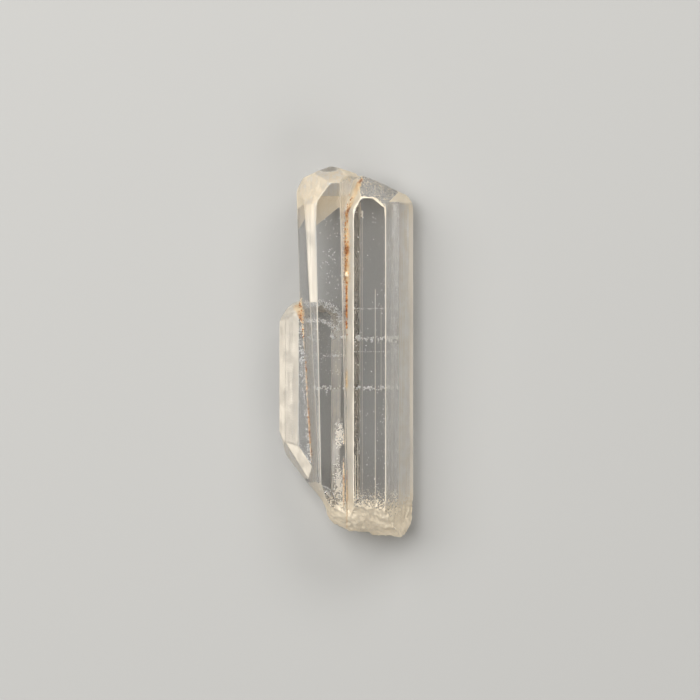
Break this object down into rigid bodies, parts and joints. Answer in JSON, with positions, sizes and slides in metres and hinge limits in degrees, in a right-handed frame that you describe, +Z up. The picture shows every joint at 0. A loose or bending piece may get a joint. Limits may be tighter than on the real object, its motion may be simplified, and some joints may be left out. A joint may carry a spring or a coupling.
{
  "type": "phenakite crystal",
  "caption": "Loose colourless phenakite specimen: long prismatic crystals grown side by side, with flat pyramid faces at one end and a rough, etched break at the other.",
  "frame": {"origin": "centre of the specimen's box in x and y, at the surface that it lies on", "axes": "+Z up; +Y along the crystals (their c axis), towards the faceted end; +X towards the large flat-sided crystal"},
  "size_m": [0.0086, 0.024, 0.0046],
  "materials": {
    "phenakite": "clear, colourless beryllium silicate with glassy prism faces, fine growth lines and frosted, etched ends; iron stain in the seams"
  },
  "bodies": {
    "root": {"crystal": "phenakite"}
  },
  "joints": []
}
